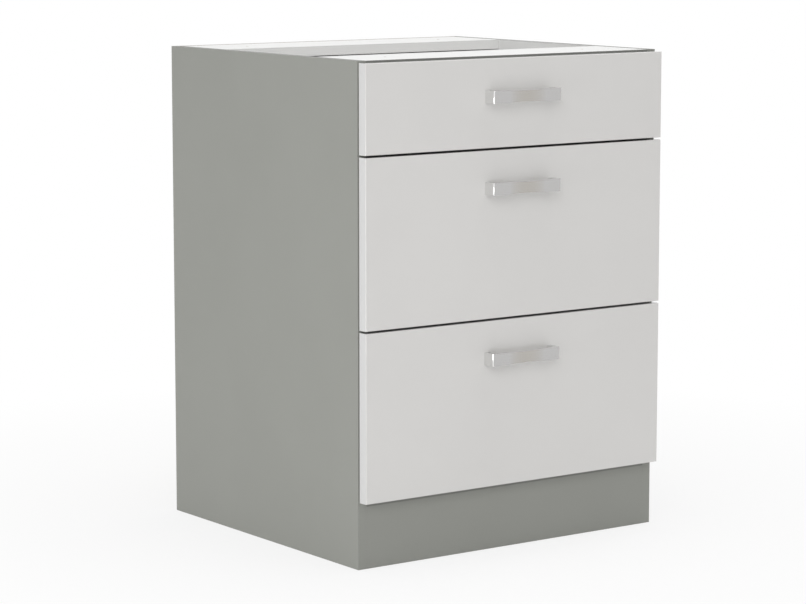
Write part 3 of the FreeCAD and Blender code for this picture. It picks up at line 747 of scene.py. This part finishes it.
def solids_of(node):
    """The lowest and highest corner of each separate solid in a CAD node."""
    form = bmesh.new()
    form.from_mesh(CABINET_NODES[node].data)
    bmesh.ops.remove_doubles(form, verts=form.verts, dist=SAME_POINT)
    waiting = set(form.verts)
    boxes = []
    while waiting:
        reached = [waiting.pop()]
        for vertex in reached:
            for edge in vertex.link_edges:
                other = edge.other_vert(vertex)
                if other in waiting:
                    waiting.remove(other)
                    reached.append(other)
        spots = list(zip(*(vertex.co for vertex in reached)))
        boxes.append((Vector(min(values) for values in spots), Vector(max(values) for values in spots)))
    form.free()
    return sorted(boxes, key=lambda box: tuple(box[0]))


# Handles

def model_handle(drawer):
    """A strap with a hollow face and a drawn-in waist, on two legs."""
    low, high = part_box(f"{drawer}_drawer_handle")
    half = high.x
    level = (low.z + high.z) / 2
    strap_back = low.y + HANDLE_STRAP
    leg_inner = half - HANDLE_LEG
    half_chord = half - HANDLE_FLAT
    handle = start_block(
        f"{drawer}_strap_handle",
        middle=(0, low.y + HANDLE_STRAP / 2, level),
        size=(2 * half, HANDLE_STRAP, high.z - low.z),
    )
    columns = [half_chord * (2 * i / HANDLE_COLUMNS - 1) for i in range(HANDLE_COLUMNS + 1)]
    for cut in columns + [-leg_inner, leg_inner]:
        bpy.ops.mesh.select_all(action="SELECT")
        bpy.ops.mesh.bisect(plane_co=(cut, 0, 0), plane_no=(1, 0, 0))

    def behind_end(face):
        return face.normal.y > SQUARE_ON and abs(face.calc_center_median().x) > leg_inner
    pick(handle, "FACE", behind_end)
    pull(y=high.y - strap_back)
    for column in columns:
        share = 1 - (column / half_chord) ** 2
        squeeze = 1 - 2 * HANDLE_WAIST * share / (high.z - low.z)
        pick(handle, "VERT", lambda vertex: near(vertex.co.x, column))
        bpy.ops.transform.resize(value=(1, 1, squeeze), center_override=(0, 0, level))
        pick(handle, "VERT", lambda vertex: near(vertex.co.x, column) and near(vertex.co.y, low.y))
        bpy.ops.transform.translate(value=(0, HANDLE_HOLLOW * share, 0))
    round_edges(handle, edge_at(x=half, y=low.y), HANDLE_CORNER, HANDLE_CORNER_STEPS)
    inner_corners = edge_at(x=leg_inner, y=strap_back)
    round_edges(handle, inner_corners, HANDLE_INNER_CORNER, HANDLE_INNER_CORNER_STEPS)
    bpy.ops.object.mode_set(mode="OBJECT")
    arris = handle.modifiers.new("arris", "BEVEL")
    arris.width = HANDLE_ARRIS
    # The clamp can take rounding for an overlap, and the arris would then vanish
    arris.use_clamp_overlap = False
    arris.segments = HANDLE_ARRIS_STEPS
    arris.limit_method = "ANGLE"
    arris.angle_limit = HANDLE_ARRIS_ANGLE
    bpy.ops.object.modifier_apply(modifier=arris.name)
    return leave_smooth(handle)


first_handle = model_handle("bottom")
first_handle.data.materials.append(chrome)
first_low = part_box("bottom_drawer_handle")[0]
for drawer in DRAWERS:
    handle = first_handle
    if drawer != "bottom":
        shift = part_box(f"{drawer}_drawer_handle")[0] - first_low
        handle = copy_piece(first_handle, f"{drawer}_strap_handle", Matrix.Translation(shift))
    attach(handle, f"{drawer}_drawer")
    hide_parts(f"{drawer}_drawer_handle")


# Edge strip behind the back panel, flush with the top

def model_edge_strip():
    """A thin grey strip along the upper edge of the back, its upper rear edge rounded."""
    left_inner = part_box("left_side_panel")[1].x
    right_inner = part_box("right_side_panel")[0].x
    back_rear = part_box("back_panel")[1].y
    sides_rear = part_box("left_side_panel")[1].y
    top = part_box("rear_top_rail")[1].z
    strip = start_block(
        "rear_edge_strip",
        middle=((left_inner + right_inner) / 2, (back_rear + sides_rear) / 2, top - STRIP_HEIGHT / 2),
        size=(right_inner - left_inner, sides_rear - back_rear, STRIP_HEIGHT),
    )
    round_edges(strip, edge_at(y=sides_rear, z=top), STRIP_ROUND, STRIP_ROUND_STEPS)
    round_edges(strip, edge_at(y=sides_rear, z=top - STRIP_HEIGHT), STRIP_ARRIS, STRIP_ARRIS_STEPS)
    return leave_smooth(strip)


edge_strip = model_edge_strip()
edge_strip.data.materials.append(edging)
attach(edge_strip, "carcass")


# Fasteners, each modelled along Z with the top of its head at the origin

def sink_cross(piece, top, reach, width, depth):
    """Sinks a cross for a driver into the flat top of a piece, narrower at its bottom."""
    is_top = level_faces(top)
    for spot in (-reach, -width / 2, width / 2, reach):
        for across in ((1, 0, 0), (0, 1, 0)):
            pick(piece, "FACE", is_top)
            middle = [spot * part for part in across]
            bpy.ops.mesh.bisect(plane_co=middle, plane_no=across, threshold=SAME_POINT)

    def in_cross(face):
        centre = face.calc_center_median()
        lesser, greater = sorted((abs(centre.x), abs(centre.y)))
        return is_top(face) and lesser < width / 2 and greater < reach
    pick(piece, "FACE", in_cross)
    pull(z=-depth)
    taper = (RECESS_TAPER_SHARE, RECESS_TAPER_SHARE, 1)
    bpy.ops.transform.resize(value=taper, center_override=(0, 0, top - depth))


def model_screw(name, node, sizes, cross=True):
    """A screw or nail: a crowned head with a rounded rim, a cross for the driver, a shank and a tip."""
    head, shank_radius, tip = sizes
    low, high = solids_of(node)[0]
    extent = sorted(high - low)
    radius = extent[0] / 2
    length = extent[2]
    crown = head * HEAD_CROWN_SHARE
    screw = start_disc(name, radius, -crown, -head, SCREW_SIDES)
    round_edges(screw, edge_at(z=-crown), head * HEAD_ROUND_SHARE, HEAD_ROUND_STEPS)
    pick(screw, "FACE", level_faces(-crown))
    bpy.ops.mesh.inset(thickness=radius * HEAD_FLAT_SHARE)
    bpy.ops.transform.translate(value=(0, 0, crown))
    if cross:
        sink_cross(screw, 0, radius * RECESS_REACH_SHARE, radius * RECESS_WIDTH_SHARE, head)
    pick(screw, "FACE", level_faces(-head, False))
    bpy.ops.mesh.inset(thickness=radius - shank_radius)
    pull(z=head + tip - length)
    pull(z=-tip)
    bpy.ops.transform.resize(value=(TIP_SHARE, TIP_SHARE, 1), center_override=(0, 0, -length))
    return leave_smooth(screw)


def model_cam(name, node):
    """A cam disc: a face plate with a rim and a cross slot, and a round wall that is open towards +X."""
    low, high = solids_of(node)[0]
    extent = sorted(high - low)
    height = extent[0]
    radius = extent[2] / 2
    cam = start_disc(name, radius, 0, -CAM_PLATE, CAM_SIDES)
    round_edges(cam, edge_at(z=0), CAM_ROUND, CAM_ROUND_STEPS)
    pick(cam, "FACE", level_faces(0))
    bpy.ops.mesh.inset(thickness=CAM_RIM)
    pull(z=-CAM_SUNK)
    sink_cross(cam, -CAM_SUNK, CAM_SLOT_REACH, CAM_SLOT_WIDTH, CAM_SLOT_DEPTH)
    is_under = level_faces(-CAM_PLATE, False)
    pick(cam, "FACE", is_under)
    bpy.ops.mesh.inset(thickness=CAM_WALL)
    hollow_radius = radius - CAM_WALL
    mouth = hollow_radius * math.cos(CAM_MOUTH_ANGLE)

    def in_wall(face):
        centre = face.calc_center_median()
        return is_under(face) and centre.xy.length > hollow_radius and centre.x < mouth
    pick(cam, "FACE", in_wall)
    pull(z=CAM_PLATE - height)
    return leave_smooth(cam)


# Where the head of a fastener or the mouth of a cam looks, from the corners of its solid

def outwards(low, high):
    return Vector((1 if low.x > 0 else -1, 0, 0))


def inwards(low, high):
    return -outwards(low, high)


def rearwards(low, high):
    return Vector((0, 1, 0))


def forwards(low, high):
    return Vector((0, -1, 0))


def downwards(low, high):
    return Vector((0, 0, -1))


def along_box_screw(low, high):
    """The screws of a drawer box enter the back from the sides and the sides from below."""
    upright = high.z - low.z > high.x - low.x
    return downwards(low, high) if upright else outwards(low, high)


def fit_fasteners(name, node, body, slot, pattern, facing, towards=None):
    """Copies a fastener to the place of each solid in a CAD node, as one piece that stands for the node.

    Its head looks the facing way. A cam's mouth looks towards its bolt, and screws are turned at will.
    """
    copies = []
    for count, (low, high) in enumerate(solids_of(node)):
        out = facing(low, high)
        side = towards(low, high) if towards else out.orthogonal().normalized()
        half = (high - low) / 2
        head = low + half + Vector(part * reach for part, reach in zip(out, half))
        turned = Matrix((side, out.cross(side), out)).transposed().to_4x4()
        twist = Matrix.Rotation(0 if towards else count * SCREW_TURN, 4, "Z")
        copies.append(copy_piece(pattern, f"{name}_{count}", Matrix.Translation(head) @ turned @ twist))
    bpy.ops.object.select_all(action="DESELECT")
    for one in copies:
        one.select_set(True)
    group = copies[0]
    bpy.context.view_layer.objects.active = group
    bpy.ops.object.join()
    group.name = name
    group.data.name = name
    group.data.materials.append(cast_zinc if slot == "zinc_casting" else zinc)
    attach(group, body)
    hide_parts(node)


rail_screw = model_screw("rail_screw", "cabinet_rail_screws", RAIL_SCREW)
box_screw = model_screw("box_screw", "bottom_drawer_screws", BOX_SCREW)
handle_screw = model_screw("handle_screw", "bottom_handle_screws", HANDLE_SCREW)
back_nail = model_screw("back_nail", "back_panel_nails", BACK_NAIL, cross=False)
cam_disc = model_cam("cam_disc", "carcass_cam_discs")

carcass_fasteners = (
    ("runner_pan_screws", "cabinet_rail_screws", "zinc_steel", rail_screw, inwards),
    ("back_flat_nails", "back_panel_nails", "zinc_steel", back_nail, rearwards),
    ("carcass_cam_locks", "carcass_cam_discs", "zinc_casting", cam_disc, downwards, outwards),
)
drawer_fasteners = (
    ("box_pan_screws", "drawer_screws", "zinc_steel", box_screw, along_box_screw),
    ("handle_bolts", "handle_screws", "zinc_steel", handle_screw, rearwards),
    ("cam_locks", "front_cam_discs", "zinc_casting", cam_disc, outwards, forwards),
)
for name, node, *how in carcass_fasteners:
    fit_fasteners(name, node, "carcass", *how)
for drawer in DRAWERS:
    for name, node, *how in drawer_fasteners:
        fit_fasteners(f"{drawer}_{name}", f"{drawer}_{node}", f"{drawer}_drawer", *how)
for pattern in (rail_screw, box_screw, handle_screw, back_nail, cam_disc):
    bpy.data.objects.remove(pattern)


# Camera, floor and light

def make_camera():
    """The view of the photograph."""
    camera_data = bpy.data.cameras.new("camera")
    camera_data.lens = CAMERA_LENS
    camera_data.sensor_width = SENSOR_WIDTH
    camera_data.sensor_fit = "HORIZONTAL"
    camera = bpy.data.objects.new("camera", camera_data)
    camera.location = CAMERA_PLACE
    camera.rotation_euler = (math.radians(90 - CAMERA_TILT), 0, math.radians(-CAMERA_TURN))
    bpy.context.collection.objects.link(camera)
    bpy.context.scene.camera = camera


def seen_directly(tree):
    """1 for rays from the camera, from mirrors and through glass."""
    path = place(tree, "ShaderNodeLightPath")
    rays = [path.outputs[name] for name in ("Is Camera Ray", "Is Glossy Ray", "Is Transmission Ray")]
    return either(tree, rays)


def mix_shaders(tree, share, under, over, surface):
    """Blends two shaders and links them to the surface."""
    both = place(tree, "ShaderNodeMixShader")
    feed(tree, both.inputs[0], share)
    tree.links.new(under.outputs[0], both.inputs[1])
    tree.links.new(over.outputs[0], both.inputs[2])
    tree.links.new(both.outputs[0], surface)


def make_floor():
    """A plain matt floor that takes the shadow and whitens away from the cabinet."""
    bpy.ops.object.select_all(action="DESELECT")
    bpy.ops.mesh.primitive_plane_add(size=FLOOR_SIZE)
    floor = bpy.context.object
    floor.name = "studio_floor"
    material, tree, matt = new_finish("studio_floor")
    matt.inputs["Base Color"].default_value = FLOOR_COLOUR
    matt.inputs["Roughness"].default_value = 1.0
    matt.inputs["Specular IOR Level"].default_value = 0.0
    white = place(tree, "ShaderNodeEmission", Color=PURE_WHITE, Strength=1.0)
    away = place(tree, "ShaderNodeVectorMath", operation="LENGTH")
    tree.links.new(object_point(tree), away.inputs[0])
    glow = spread(tree, away.outputs["Value"], FLOOR_GLOW_REACH, FLOOR_GLOW)
    share = work_out(tree, "MULTIPLY", seen_directly(tree), glow)
    mix_shaders(tree, share, matt, white, tree.nodes["Material Output"].inputs["Surface"])
    floor.data.materials.append(material)


def make_world():
    """Even light from all round, seen as pure white."""
    world = bpy.data.worlds.new("studio")
    world.use_nodes = True
    bpy.context.scene.world = world
    tree = world.node_tree
    soft = tree.nodes["Background"]
    soft.inputs["Color"].default_value = PURE_WHITE
    soft.inputs["Strength"].default_value = AMBIENT
    white = place(tree, "ShaderNodeBackground", Color=PURE_WHITE, Strength=1.0)
    mix_shaders(tree, seen_directly(tree), soft, white, tree.nodes["World Output"].inputs["Surface"])


def add_lamp(name, spot, size, power):
    """A soft lamp that looks at the middle of the cabinet."""
    lamp_data = bpy.data.lights.new(name, "AREA")
    lamp_data.shape = "RECTANGLE"
    lamp_data.size, lamp_data.size_y = size
    lamp_data.energy = power
    lamp = bpy.data.objects.new(name, lamp_data)
    lamp.location = spot
    middle = (cad_low + cad_high) / 2
    lamp.rotation_euler = (middle - lamp.location).to_track_quat("-Z", "Y").to_euler()
    bpy.context.collection.objects.link(lamp)


make_camera()
make_floor()
make_world()
for lamp in LAMPS:
    add_lamp(*lamp)
bpy.context.scene.view_settings.view_transform = "Standard"
